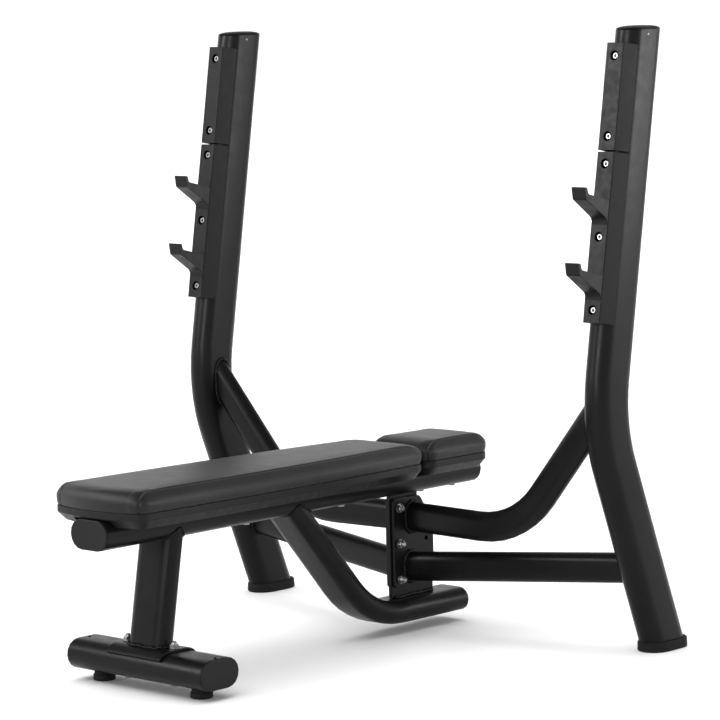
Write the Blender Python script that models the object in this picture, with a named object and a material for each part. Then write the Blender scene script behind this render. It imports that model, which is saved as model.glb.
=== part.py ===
"""Olympic bench press with two-position bar catches, built in metres with +Z up.

+Y runs from the foot end of the bench to the uprights at its head end, +X is to the right, and the
frame is symmetric about X = 0. The floor is Z = 0. Every sub-part is one object with one closed body.
Sizes along Y are measured from the middle of the uprights' boots; add_object moves each mesh so that
the origin lies under the middle of the whole bench.
"""
import math
from collections import namedtuple

import bmesh
import bpy
from mathutils import Vector

# ---------------------------------------------------------------- driving sizes
ORIGIN_Y = -0.4976       # origin of the finished bench, from the middle of the boots
GAP = 0.0003             # clearance between pieces that touch
TUBE_WALL = 0.003
MAIN_LONG = 0.105        # flat-oval tube of the uprights, the rail and the front foot
MAIN_SHORT = 0.061
LIGHT_LONG = 0.101       # flat-oval tube of the front leg and of the lower tube
LIGHT_SHORT = 0.050
BEAM_HIGH = 0.064        # flat-oval tube of the cross beams
BEAM_THICK = 0.040

POST_X = 0.570           # upright centre line, from the middle of the frame
POST_FOOT_Y = 0.0064     # where that line meets the floor
POST_KNEE = Vector((0.0, -0.179, 0.483))
POST_TOP = Vector((0.0, -0.0485, 1.272))
POST_BEND = 0.360
BOOT_HIGH = 0.021
BOOT_WALL = 0.005
BOOT_SOLE = 0.005
DOME_HIGH = 0.008

STRIP_FACE = 0.068       # front face of guard and catch, ahead of the upright's centre line
STRIP_HALF = 0.0205      # half width of that face
STRIP_LIP = 0.033        # where its side walls end on the upright
STRIP_LIP_HALF = 0.031
GUARD_SPAN = (0.036, 0.251)      # distances down the upright from its top
CATCH_SPAN = (0.2545, 0.597)
GUARD_SCREWS = (0.062, 0.223)
CATCH_SCREWS = (0.278, 0.4245, 0.571)
HOOK_TIPS = (0.3335, 0.4840)
HOOK_HALF = 0.0202       # half width of a hook at the strip's face
HOOK_TAPER = 0.035
SCREW_SINK = 0.0035      # screw head below the face
COUNTERBORE = 0.0100

RAIL_Z = 0.329
RAIL_ENDS = (-1.060, 0.037)
CAP_PLATE = 0.0032
CAP_PLUG = 0.012

BRACKET_Y = (-0.203, -0.079)
BRACKET_Z = (0.095, 0.287)
BRACKET_THICK = 0.008
CENTRE_PLATE_Y = (-0.207, -0.075)
FRAME_BOLT_Y = -0.186
FRAME_BOLT_Z = (0.112, 0.189, 0.266)
SPARE_HOLE = (-0.102, 0.191)

UPPER_BEAM = (Vector((0.0, -0.146, 0.243)), Vector((0.320, -0.153, 0.2405)), Vector((0.0, -0.163, 0.501)))
UPPER_BEAM_BEND = 0.230
LOWER_BEAM = (Vector((0.0, -0.152, 0.136)), Vector((0.0, -0.062, 0.174)))

LOWER_TUBE_Z = 0.0465
LOWER_TUBE_END = -0.010
LOWER_TUBE_CORNER = -0.294
LOWER_TUBE_SLOPE = 1.1775        # rise over run of its slanted stretch
LOWER_TUBE_BEND = 0.200

FOOT_Y = -0.905
FOOT_Z = 0.0525
FOOT_HALF = 0.194
LEG_SLOPE = 0.177                # run over rise of the front leg
LEVELLER_X = 0.141
LEVELLER_RADIUS = 0.0230
SADDLE_HALF = 0.078
SADDLE_THICK = 0.005
SADDLE_WRAP = math.radians(36)   # lower edge of its skirts, above the horizontal
SADDLE_BOLT_X = 0.067

PAD_SEAM_Z = 0.377               # seam between foam and shell, at the foot end
PAD_FALL = 0.0081                # fall over run of both pads towards the head
PAD_CORNER = 0.032
CREASE_HIGH = 0.0425             # crease round the top face, above the seam
CREASE_INSET = 0.0185            # and inside the seam along a pad's sides
CROWN_HIGH = 0.0437
SHELL_BAND = 0.014
SHELL_CHAMFER = 0.0145
SHELL_DEEP = 0.031
SHELL_WALL = 0.0035
PAD_BOLT_LENGTH = 0.066

# Each end of a pad is (foot side, head side); a pad narrows from one half width to the other.
Pad = namedtuple("Pad", "label ends halves power bows crease_insets bolts")
MAIN_PAD = Pad("main", (-1.057, -0.186), (0.127, 0.094), 3, (0.024, 0.0), (0.014, 0.0415), (-0.630, -0.350))
HEAD_PAD = Pad("head", (-0.174, 0.036), (0.0885, 0.085), 1, (0.0, 0.005), (0.028, 0.026), (-0.103, -0.002))

M8 = 0.004               # shank radii
M10 = 0.005
ARC_STEPS = 8            # facets in each half round of a tube
ROUND_STEPS = 12         # facets round a fastener, a multiple of six
X_AXIS = Vector((1, 0, 0))
Y_AXIS = Vector((0, 1, 0))
Z_AXIS = Vector((0, 0, 1))


# ---------------------------------------------------------------- scene and mesh helpers
def clear_scene():
    for item in list(bpy.data.objects):
        bpy.data.objects.remove(item, do_unlink=True)


def principled(name, colour, roughness, metallic=0.0):
    made = bpy.data.materials.new(name)
    made.use_nodes = True
    shader = made.node_tree.nodes["Principled BSDF"]
    shader.inputs["Base Color"].default_value = (*colour, 1.0)
    shader.inputs["Roughness"].default_value = roughness
    shader.inputs["Metallic"].default_value = metallic
    return made


def add_object(name, mesh_work, look):
    bmesh.ops.recalc_face_normals(mesh_work, faces=mesh_work.faces)
    bmesh.ops.translate(mesh_work, verts=mesh_work.verts, vec=(0, -ORIGIN_Y, 0))
    mesh = bpy.data.meshes.new(name)
    mesh_work.to_mesh(mesh)
    mesh_work.free()
    made = bpy.data.objects.new(name, mesh)
    bpy.context.scene.collection.objects.link(made)
    if look is not None:
        mesh.materials.append(look)
    mesh.shade_smooth()
    mesh.set_sharp_from_angle(angle=math.radians(32))
    return made


def boolean(target, tool, operation):
    tool.hide_render = True
    tool.display_type = "WIRE"
    step = target.modifiers.new(tool.name, "BOOLEAN")
    step.operation = operation
    step.solver = "EXACT"
    step.object = tool


def loft(mesh_work, rings, closed=False):
    """Bridges rings that have the same number of points; closed joins the last ring to the first."""
    made = [[mesh_work.verts.new(point) for point in ring] for ring in rings]
    count = len(made[0])
    pairs = list(zip(made, made[1:]))
    if closed:
        pairs.append((made[-1], made[0]))
    else:
        mesh_work.faces.new(made[0])
        mesh_work.faces.new(made[-1])
    for first, second in pairs:
        for i in range(count):
            j = (i + 1) % count
            mesh_work.faces.new((first[i], first[j], second[j], second[i]))


def lofted(name, rings, look, closed=False):
    mesh_work = bmesh.new()
    loft(mesh_work, rings, closed)
    return add_object(name, mesh_work, look)


# ---------------------------------------------------------------- outlines
def flat_oval(size_u, size_v, steps=ARC_STEPS):
    """Outline of a flat-oval section as (u, v): two half rounds and two flats."""
    radius = min(size_u, size_v) / 2
    reach = max(size_u, size_v) / 2 - radius
    points = []
    for end in (1, -1):
        for step in range(steps + 1):
            angle = math.pi * (step / steps - 0.5)
            along = end * (reach + radius * math.cos(angle))
            across = end * radius * math.sin(angle)
            points.append((along, across) if size_u >= size_v else (-across, along))
    return points


def rounded(corners, steps=4):
    """Polygon with arcs at its corners; each corner is (a, b, radius)."""
    points = []
    count = len(corners)
    for i, (a, b, radius) in enumerate(corners):
        here = Vector((a, b))
        if radius == 0:
            points.append((a, b))
            continue
        before = (Vector(corners[i - 1][:2]) - here).normalized()
        after = (Vector(corners[(i + 1) % count][:2]) - here).normalized()
        half = before.angle(after) / 2
        centre = here + (before + after).normalized() * (radius / math.sin(half))
        start = here + before * (radius / math.tan(half)) - centre
        turn = (math.pi - 2 * half) * (1 if before.cross(after) < 0 else -1)
        for step in range(steps + 1):
            angle = turn * step / steps
            cos, sin = math.cos(angle), math.sin(angle)
            points.append((centre.x + start.x * cos - start.y * sin, centre.y + start.x * sin + start.y * cos))
    return points


def circle(radius, steps=ROUND_STEPS, hexagonal=False):
    """Points round a circle, or on a hexagon whose flats lie at that radius."""
    points = []
    for step in range(steps):
        angle = 2 * math.pi * step / steps
        reach = radius
        if hexagonal:
            off = (angle % (math.pi / 3)) - math.pi / 6
            reach = radius / math.cos(off)
        points.append((reach * math.cos(angle), reach * math.sin(angle)))
    return points


# ---------------------------------------------------------------- shapes along a line or a path
def bent_path(points, radius, steps=7):
    """Stations (place, direction) along straight runs joined by arcs of one radius."""
    stations = [(points[0], (points[1] - points[0]).normalized())]
    for before, here, after in zip(points, points[1:], points[2:]):
        arriving = (here - before).normalized()
        leaving = (after - here).normalized()
        turn = arriving.angle(leaving)
        start = here - arriving * radius * math.tan(turn / 2)
        inward = (leaving - arriving * arriving.dot(leaving)).normalized()
        for step in range(steps + 1):
            angle = turn * step / steps
            place = start + arriving * radius * math.sin(angle) + inward * radius * (1 - math.cos(angle))
            stations.append((place, arriving * math.cos(angle) + inward * math.sin(angle)))
    stations.append((points[-1], (points[-1] - points[-2]).normalized()))
    return stations


def section_ring(outline, place, direction, side, cut=None):
    """Places an outline across a path; cut is the normal of the plane that the tube is sawn to."""
    across = (side - direction * side.dot(direction)).normalized()
    upward = direction.cross(across)
    ring = []
    for u, v in outline:
        offset = across * u + upward * v
        if cut is not None:
            offset -= direction * (offset.dot(cut) / direction.dot(cut))
        ring.append(place + offset)
    return ring


def tube(name, stations, side, size_side, size_other, look, cuts=(None, None), wall=TUBE_WALL):
    """Hollow flat-oval tube, open at both ends."""
    outer = flat_oval(size_side, size_other)
    inner = flat_oval(size_side - 2 * wall, size_other - 2 * wall)
    ends = [cuts[0]] + [None] * (len(stations) - 2) + [cuts[1]]
    outside = [section_ring(outer, p, d, side, c) for (p, d), c in zip(stations, ends)]
    inside = [section_ring(inner, p, d, side, c) for (p, d), c in zip(stations, ends)]
    return lofted(name, outside + inside[::-1], look, closed=True)


def solid_bar(name, start, end, side, size_side, size_other):
    """Solid flat-oval bar used as a cutter."""
    outline = flat_oval(size_side, size_other)
    direction = (end - start).normalized()
    return lofted(name, [section_ring(outline, p, direction, side) for p in (start, end)], None)


def stacked(name, base, axis, levels, look, closed=False):
    """Turned or hexagonal piece along an axis; each level is (height, radius, hexagonal)."""
    side = X_AXIS if abs(axis.x) < 0.5 else Y_AXIS
    rings = []
    for height, radius, hexagonal in levels:
        rings.append(section_ring(circle(radius, hexagonal=hexagonal), base + axis * height, axis, side))
    return lofted(name, rings, look, closed)


def drill(target, places, axis, length, radius):
    """Cuts round holes of one size and direction, starting at each place."""
    mesh_work = bmesh.new()
    side = X_AXIS if abs(axis.x) < 0.5 else Y_AXIS
    for place in places:
        loft(mesh_work, [section_ring(circle(radius), p, axis, side) for p in (place, place + axis * length)])
    boolean(target, add_object(f"drill_{target.name}_{len(target.modifiers)}", mesh_work, None), "DIFFERENCE")


def plate(name, outline, place, look):
    """Extrudes an outline between two places; place(a, b, end) gives the point at end 0 or 1."""
    return lofted(name, [[place(a, b, end) for a, b in outline] for end in (0, 1)], look)


# ---------------------------------------------------------------- positions on an upright
POST_AXIS = (POST_TOP - POST_KNEE).normalized()
POST_FRONT = X_AXIS.cross(POST_AXIS)
POST_LEAN = math.atan2(POST_AXIS.y, POST_AXIS.z)
LEG_RUN = (POST_KNEE.y - POST_FOOT_Y) / POST_KNEE.z
LEG_LEAN = math.atan(LEG_RUN)


def on_post(side, down, ahead, across=0.0):
    """Point beside the upper stretch: down from the top, ahead of the centre line, across it."""
    return Vector((side * POST_X + across, 0, 0)) + POST_TOP - POST_AXIS * down + POST_FRONT * ahead


# ---------------------------------------------------------------- uprights
def make_upright(side, label, steel, plastic, rubber):
    centre = X_AXIS * side * POST_X
    floor_gap = BOOT_SOLE + GAP
    foot = centre + Vector((0, POST_FOOT_Y + LEG_RUN * floor_gap, floor_gap))
    stations = bent_path([foot, centre + POST_KNEE, centre + POST_TOP], POST_BEND)
    upright = tube(f"upright_{label}", stations, X_AXIS, MAIN_SHORT, MAIN_LONG, steel, (Z_AXIS, Z_AXIS))
    places = [on_post(side, down, 0.030) for down in GUARD_SCREWS + CATCH_SCREWS]
    drill(upright, places, POST_FRONT, 0.045, M8 + 3 * GAP)
    make_upright_cap(centre, label, plastic)
    make_boot(centre, label, rubber)


def make_upright_cap(centre, label, look):
    """Domed plug in the upright's level top end; the plug follows the lean of the tube."""
    stretch = 1 / math.cos(POST_LEAN)
    shrink = 2 * (TUBE_WALL + GAP)
    rings = []
    for height, scale in ((DOME_HIGH, 0.28), (0.94 * DOME_HIGH, 0.55), (0.72 * DOME_HIGH, 0.82),
                          (0.42 * DOME_HIGH, 0.96), (0.15 * DOME_HIGH, 1.0), (GAP, 1.0)):
        outline = flat_oval(MAIN_SHORT * scale, MAIN_LONG * scale)
        rings.append([centre + POST_TOP + Vector((u, v * stretch, height)) for u, v in outline])
    plug = flat_oval(MAIN_SHORT - shrink, MAIN_LONG - shrink)
    for height in (GAP, -CAP_PLUG):
        lean = height * math.tan(POST_LEAN)
        rings.append([centre + POST_TOP + Vector((u, v * stretch + lean, height)) for u, v in plug])
    lofted(f"upright_cap_{label}", rings, look)


def make_boot(centre, label, look):
    """Rubber boot: a level cup whose pocket follows the lean of the upright's leg."""
    stretch = 1 / math.cos(LEG_LEAN)
    pocket = flat_oval(MAIN_SHORT + 2 * GAP, MAIN_LONG + 2 * GAP)

    def level(height, grow, follow):
        middle = POST_FOOT_Y + LEG_RUN * (height if follow else BOOT_HIGH / 2)
        grown = flat_oval(MAIN_SHORT + 2 * grow, MAIN_LONG + 2 * grow) if grow else pocket
        return [centre + Vector((u, v * stretch + middle, height)) for u, v in grown]

    rings = [level(0, BOOT_WALL - 0.001, False), level(0.002, BOOT_WALL + 0.0008, False),
             level(BOOT_HIGH - 0.0015, BOOT_WALL, False), level(BOOT_HIGH, BOOT_WALL - 0.0015, False),
             level(BOOT_HIGH, 0, True), level(BOOT_SOLE, 0, True)]
    lofted(f"upright_boot_{label}", rings, look)


def strip_outline():
    """Section of guard and catch as (across, ahead): it hugs the round nose of the upright."""
    nose = MAIN_LONG / 2 - MAIN_SHORT / 2
    radius = MAIN_SHORT / 2 + GAP
    sweep = math.acos((STRIP_LIP - nose) / radius)
    points = [(-STRIP_LIP_HALF, STRIP_LIP), (-STRIP_HALF - 0.0012, STRIP_FACE - 0.003), (-STRIP_HALF, STRIP_FACE),
              (STRIP_HALF, STRIP_FACE), (STRIP_HALF + 0.0012, STRIP_FACE - 0.003), (STRIP_LIP_HALF, STRIP_LIP)]
    steps = 10
    for step in range(steps + 1):
        angle = sweep * (1 - 2 * step / steps)
        points.append((radius * math.sin(angle), nose + radius * math.cos(angle)))
    return points


def hook_outline(tip):
    """Side profile of one hook as (down, ahead): a lip, a seat that falls towards the upright, a brace."""
    inside = STRIP_FACE - 0.006
    proud = STRIP_FACE + 0.0002
    return rounded([(tip - 0.0005, 0.1446, 0.0012), (tip - 0.0005, 0.1372, 0.0015), (tip + 0.0118, 0.1322, 0.0065),
                    (tip + 0.0168, 0.0700, 0.003), (tip + 0.0160, inside, 0), (tip + 0.0660, inside, 0),
                    (tip + 0.0660, proud, 0), (tip + 0.0555, proud, 0.015), (tip + 0.0236, 0.1371, 0.007)], steps=3)


def hook_reach(ahead):
    """Half width of a hook, which narrows towards its lip."""
    return HOOK_HALF - HOOK_TAPER * (ahead - STRIP_FACE)


def strip(name, side, span, look):
    ends = [span[0], span[1]]
    return plate(name, strip_outline(), lambda a, b, end: on_post(side, ends[end], b, a), look)


def counterbore(target, side, downs):
    depth = 0.050
    drill(target, [on_post(side, down, 0.045) for down in downs], POST_FRONT, depth, M8 + 2 * GAP)
    floor = STRIP_FACE - SCREW_SINK - 2 * M8 - GAP
    drill(target, [on_post(side, down, floor) for down in downs], POST_FRONT, depth, COUNTERBORE)


def make_guard(side, label, plastic, zinc):
    guard = strip(f"bar_guard_{label}", side, GUARD_SPAN, plastic)
    counterbore(guard, side, GUARD_SCREWS)
    for number, down in enumerate(GUARD_SCREWS, 1):
        socket_screw(f"guard_screw_{label}_{number}", side, down, zinc)


def make_catch(side, label, plastic, zinc):
    """Two-hook bar catch; the hooks are one body with the strip that carries them."""
    catch = strip(f"bar_catch_{label}", side, CATCH_SPAN, plastic)
    for number, tip in enumerate(HOOK_TIPS, 1):
        hook = plate(f"hook_shape_{label}_{number}", hook_outline(tip),
                     lambda a, b, end: on_post(side, a, b, (2 * end - 1) * hook_reach(b)), None)
        boolean(catch, hook, "UNION")
    counterbore(catch, side, CATCH_SCREWS)
    for number, down in enumerate(CATCH_SCREWS, 1):
        socket_screw(f"catch_screw_{label}_{number}", side, down, zinc)


def socket_screw(name, side, down, look):
    """M8 socket head cap screw, pointing back into the upright."""
    face = STRIP_FACE - SCREW_SINK
    head = 2 * M8
    levels = [(0.038, M8, False), (face - head, M8, False), (face - head, 0.0065, False),
              (face - 0.0008, 0.0065, False), (face, 0.0058, False), (face, 0.0030, True),
              (face - 0.004, 0.0030, True)]
    stacked(name, on_post(side, down, 0), POST_FRONT, levels, look)


# ---------------------------------------------------------------- bench rail, legs and foot
def end_cap(name, face, outward, side, size_side, size_other, look):
    """Plastic cap: a plate over the tube's end with a plug inside it; face is its outermost point."""
    shrink = 2 * (TUBE_WALL + GAP)
    rings = []
    for back, less in ((0.0, 0.003), (0.001, 0.0008), (0.0022, 0.0), (CAP_PLATE - GAP, 0.0),
                       (CAP_PLATE - GAP, shrink), (CAP_PLATE + CAP_PLUG, shrink)):
        outline = flat_oval(size_side - less, size_other - less)
        rings.append(section_ring(outline, face - outward * back, outward, side))
    return lofted(name, rings, look)


def make_rail(steel, plastic):
    ends = [Vector((0, RAIL_ENDS[0] + CAP_PLATE, RAIL_Z)), Vector((0, RAIL_ENDS[1] - CAP_PLATE, RAIL_Z))]
    rail = tube("top_rail", [(p, Y_AXIS) for p in ends], X_AXIS, MAIN_LONG, MAIN_SHORT, steel)
    bolt_ys = MAIN_PAD.bolts + HEAD_PAD.bolts
    drill(rail, [Vector((0, y, RAIL_Z - 0.040)) for y in bolt_ys], Z_AXIS, 0.080, M8 + 2 * GAP)
    for label, y, outward in (("front", RAIL_ENDS[0], -Y_AXIS), ("rear", RAIL_ENDS[1], Y_AXIS)):
        end_cap(f"rail_cap_{label}", Vector((0, y, RAIL_Z)), outward, X_AXIS, MAIN_LONG, MAIN_SHORT, plastic)


def cope_to_rail(target):
    """Saws the target's upper end to the underside of the rail."""
    grow = 2 * GAP
    start, end = Vector((0, RAIL_ENDS[0], RAIL_Z)), Vector((0, RAIL_ENDS[1], RAIL_Z))
    cutter = solid_bar(f"cope_{target.name}", start, end, X_AXIS, MAIN_LONG + grow, MAIN_SHORT + grow)
    boolean(target, cutter, "DIFFERENCE")


def make_lower_tube(steel, plastic):
    high = RAIL_Z + 0.002
    run = (high - LOWER_TUBE_Z) / LOWER_TUBE_SLOPE
    points = [Vector((0, LOWER_TUBE_END - CAP_PLATE, LOWER_TUBE_Z)), Vector((0, LOWER_TUBE_CORNER, LOWER_TUBE_Z)),
              Vector((0, LOWER_TUBE_CORNER - run, high))]
    stations = bent_path(points, LOWER_TUBE_BEND)
    lower = tube("lower_tube", stations, X_AXIS, LIGHT_LONG, LIGHT_SHORT, steel, (None, Z_AXIS))
    cope_to_rail(lower)
    end_cap("lower_tube_cap", Vector((0, LOWER_TUBE_END, LOWER_TUBE_Z)), Y_AXIS, X_AXIS,
            LIGHT_LONG, LIGHT_SHORT, plastic)


SADDLE_TOP_Z = FOOT_Z + MAIN_SHORT / 2 + GAP + SADDLE_THICK


def make_front_leg(steel):
    low = Vector((0, FOOT_Y, SADDLE_TOP_Z + GAP))
    rise = RAIL_Z + 0.002 - low.z
    high = low + Vector((0, LEG_SLOPE * rise, rise))
    direction = (high - low).normalized()
    stations = [(low, direction), (high, direction)]
    leg = tube("front_leg", stations, X_AXIS, LIGHT_LONG, LIGHT_SHORT, steel, (Z_AXIS, Z_AXIS))
    cope_to_rail(leg)


def make_saddle_plate(steel):
    """Bent plate over the foot tube that carries the leg."""
    inner = MAIN_SHORT / 2 + GAP
    reach = MAIN_LONG / 2 - MAIN_SHORT / 2
    steps = 6

    def arc(radius, side):
        angles = [SADDLE_WRAP + (math.pi / 2 - SADDLE_WRAP) * step / steps for step in range(steps + 1)]
        return [(side * (reach + radius * math.cos(a)), radius * math.sin(a)) for a in angles]

    outer = inner + SADDLE_THICK
    outline = arc(outer, 1) + arc(outer, -1)[::-1] + arc(inner, -1) + arc(inner, 1)[::-1]
    reaches = (-SADDLE_HALF, SADDLE_HALF)
    saddle = plate("saddle_plate", outline, lambda a, b, end: Vector((reaches[end], FOOT_Y + a, FOOT_Z + b)), steel)
    drill(saddle, [Vector((x, FOOT_Y, FOOT_Z)) for x in (-SADDLE_BOLT_X, SADDLE_BOLT_X)], Z_AXIS, 0.05,
          M10 + 2 * GAP)


def make_front_foot(steel, plastic):
    long = FOOT_HALF - CAP_PLATE
    stations = [(Vector((x, FOOT_Y, FOOT_Z)), X_AXIS) for x in (-long, long)]
    foot = tube("foot_tube", stations, Y_AXIS, MAIN_LONG, MAIN_SHORT, steel)
    for x_half, depth in ((SADDLE_BOLT_X, 0.08), (LEVELLER_X, 0.03)):
        places = [Vector((x, FOOT_Y, FOOT_Z - 0.04)) for x in (-x_half, x_half)]
        drill(foot, places, Z_AXIS, depth, M10 + 2 * GAP)
    for label, sign in (("left", -1), ("right", 1)):
        face = Vector((sign * FOOT_HALF, FOOT_Y, FOOT_Z))
        end_cap(f"foot_cap_{label}", face, X_AXIS * sign, Y_AXIS, MAIN_LONG, MAIN_SHORT, plastic)


def make_leveller(label, sign, rubber):
    """Rubber foot moulded round its threaded stud."""
    high = FOOT_Z - MAIN_SHORT / 2 - GAP
    wide = LEVELLER_RADIUS
    levels = [(0.0, wide - 0.0020, False), (0.0020, wide, False), (0.0115, wide, False), (0.0130, wide - 0.0025, False),
              (high, wide - 0.0030, False), (high, M10, False), (0.046, M10, False)]
    stacked(f"levelling_foot_{label}", Vector((sign * LEVELLER_X, FOOT_Y, 0)), Z_AXIS, levels, rubber)


# ---------------------------------------------------------------- fasteners
WASHER_HIGH = 0.0018
WASHER_RADIUS = 0.0100
HEX_HALF = 0.0080        # half the width across flats of an M10 head or nut


def hex_bolt(name, seat, axis, length, look, shank=M10, hex_half=HEX_HALF, washer=WASHER_RADIUS):
    """Bolt with its washer; seat is the face that it clamps, and axis points along its shank."""
    head = 1.3 * shank
    levels = [(-WASHER_HIGH - head, hex_half * 0.90, False), (-WASHER_HIGH - 0.85 * head, hex_half, True),
              (-WASHER_HIGH, hex_half, True), (-WASHER_HIGH, washer, False), (0.0, washer, False),
              (0.0, shank, False), (length - 0.001, shank, False), (length, shank - 0.001, False)]
    stacked(name, seat - axis * GAP, axis, levels, look)


def lock_nut(name, seat, axis, look, shank=M10, hex_half=HEX_HALF):
    """Lock nut with its washer and collar; axis points away from the clamped face."""
    hole = shank + GAP
    levels = [(0.0, hole, False), (0.0, WASHER_RADIUS, False), (WASHER_HIGH, WASHER_RADIUS, False),
              (WASHER_HIGH, hex_half, True), (WASHER_HIGH + 0.0062, hex_half, True),
              (WASHER_HIGH + 0.0072, hex_half * 0.88, False), (WASHER_HIGH + 0.0092, hex_half * 0.80, False),
              (WASHER_HIGH + 0.0092, hole, False)]
    stacked(name, seat + axis * GAP, axis, levels, look, closed=True)


NUT_STACK = WASHER_HIGH + 0.0092 + 0.004     # nut, washer and the bolt end that stands out of them


def make_saddle_bolts(zinc):
    under = FOOT_Z - MAIN_SHORT / 2
    for label, x in (("left", -SADDLE_BOLT_X), ("right", SADDLE_BOLT_X)):
        length = SADDLE_TOP_Z - under + NUT_STACK
        hex_bolt(f"saddle_bolt_{label}", Vector((x, FOOT_Y, under)), Z_AXIS, length, zinc)
        lock_nut(f"saddle_nut_{label}", Vector((x, FOOT_Y, SADDLE_TOP_Z)), Z_AXIS, zinc)


def make_frame_bolts(zinc):
    face = BRACKET_THICK / 2 + GAP + BRACKET_THICK
    for number, z in enumerate(FRAME_BOLT_Z, 1):
        hex_bolt(f"frame_bolt_{number}", Vector((-face, FRAME_BOLT_Y, z)), X_AXIS, 2 * face + NUT_STACK, zinc)
        lock_nut(f"frame_nut_{number}", Vector((face, FRAME_BOLT_Y, z)), X_AXIS, zinc)


# ---------------------------------------------------------------- middle bracket and cross beams
def make_bracket(steel):
    half = BRACKET_THICK / 2
    low, high = LOWER_TUBE_Z + LIGHT_SHORT / 2 + GAP, RAIL_Z - MAIN_SHORT / 2 - GAP
    near, far = CENTRE_PLATE_Y
    outline = [(near, low + 0.0012), (near + 0.007, low), (far, low), (far, 0.215), (near + 0.088, high - 0.020),
               (near + 0.088, high), (near, high)]
    centre = plate("centre_plate", outline, lambda a, b, end: Vector(((2 * end - 1) * half, a, b)), steel)
    drill(centre, bolt_holes(-0.02), X_AXIS, 0.04, M10 + 2 * GAP)
    near, far = BRACKET_Y
    low, high = BRACKET_Z
    for label, sign in (("left", -1), ("right", 1)):
        outline = rounded([(near, low, 0.006), (far, low, 0.014), (far, high - 0.062, 0.010),
                           (near + 0.083, high, 0.014), (near, high, 0.006)])
        faces = (sign * (half + GAP), sign * (half + GAP + BRACKET_THICK))
        side_plate = plate(f"side_plate_{label}", outline, lambda a, b, end: Vector((faces[end], a, b)), steel)
        drill(side_plate, bolt_holes(-0.03), X_AXIS, 0.06, M10 + 2 * GAP)
        drill(side_plate, [Vector((-0.03, *SPARE_HOLE))], X_AXIS, 0.06, M10)


def bolt_holes(x):
    return [Vector((x, FRAME_BOLT_Y, z)) for z in FRAME_BOLT_Z]


def make_beams(side, label, steel):
    """Upper and lower cross beams from the middle bracket to one upright."""
    inner_x = BRACKET_THICK * 1.5 + 2 * GAP
    outer_x = POST_X - MAIN_SHORT / 2 - GAP

    def place(point, x):
        return Vector((side * x, point.y, point.z))

    start, corner, end = UPPER_BEAM
    points = [place(start, inner_x), place(corner, corner.x), place(end, outer_x)]
    tube(f"upper_beam_{label}", bent_path(points, UPPER_BEAM_BEND), Y_AXIS, BEAM_THICK, BEAM_HIGH, steel,
         (X_AXIS, X_AXIS))
    points = [place(LOWER_BEAM[0], inner_x), place(LOWER_BEAM[1], outer_x)]
    direction = (points[1] - points[0]).normalized()
    tube(f"lower_beam_{label}", [(p, direction) for p in points], Y_AXIS, BEAM_THICK, BEAM_HIGH, steel,
         (X_AXIS, X_AXIS))


# ---------------------------------------------------------------- pads
def pad_half(pad, y):
    along = (y - pad.ends[0]) / (pad.ends[1] - pad.ends[0])
    along = min(max(along, 0.0), 1.0)
    return pad.halves[0] + (pad.halves[1] - pad.halves[0]) * along ** pad.power


def pad_fall(y):
    return PAD_FALL * (y - MAIN_PAD.ends[0])


def pad_outline(pad, inset, end_insets):
    """Plan outline of a pad: narrowing sides, round corners and ends that bulge by the pad's bows."""
    half = pad.halves[0] - inset
    corner = max(PAD_CORNER - inset, 0.010)
    flat = half - corner
    steps = 4
    ends = []
    for sign, end, bow, less in ((-1, pad.ends[0], pad.bows[0], end_insets[0]),
                                 (1, pad.ends[1], pad.bows[1], end_insets[1])):
        edge = end - sign * less
        across = [flat * (2 * step / steps - 1) for step in range(steps + 1)]
        arc = [(x, edge - sign * bow * (x / half) ** 2) for x in across]
        shoulder = edge - sign * bow * (flat / half) ** 2
        turns = [math.pi / 2 * step / 4 for step in range(1, 5)]
        round_off = [(flat + corner * math.sin(t), shoulder - sign * corner * (1 - math.cos(t))) for t in turns]
        ends.append([(-x, y) for x, y in round_off[::-1]] + arc + round_off)
    near, far = ends
    start, stop = near[-1][1], far[-1][1]
    sides = [start + (stop - start) * step / 6 for step in range(1, 6)]
    outline = near + [(half, y) for y in sides] + far[::-1] + [(-half, y) for y in sides[::-1]]
    return [(x * (pad_half(pad, y) - inset) / half, y) for x, y in outline]


def pad_loft(name, pad, levels, look):
    """Solid through plan outlines; each level is (z, inset, end insets or None, falls with the pad)."""
    rings = []
    for z, inset, end_insets, falls in levels:
        outline = pad_outline(pad, inset, end_insets or (inset, inset))
        rings.append([Vector((x, y, z - (pad_fall(y) if falls else 0.0))) for x, y in outline])
    return lofted(name, rings, look)


def make_foam(pad, vinyl):
    """Upholstered block: upright at the seam, a slight bulge, a crease round its crowned top face."""
    levels = []
    for high, share in ((0.0, 0.08), (0.006, 0.0), (0.018, -0.06), (0.028, 0.05), (0.036, 0.33), (0.041, 0.78),
                        (CREASE_HIGH, 1.0)):
        ends = tuple(share * inset for inset in pad.crease_insets)
        levels.append((PAD_SEAM_Z + high, share * CREASE_INSET, ends, True))
    crown = 0.028
    ends = tuple(inset + crown for inset in pad.crease_insets)
    levels.append((PAD_SEAM_Z + CROWN_HIGH, CREASE_INSET + crown, ends, True))
    pad_loft(f"{pad.label}_pad", pad, levels, vinyl)


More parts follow.
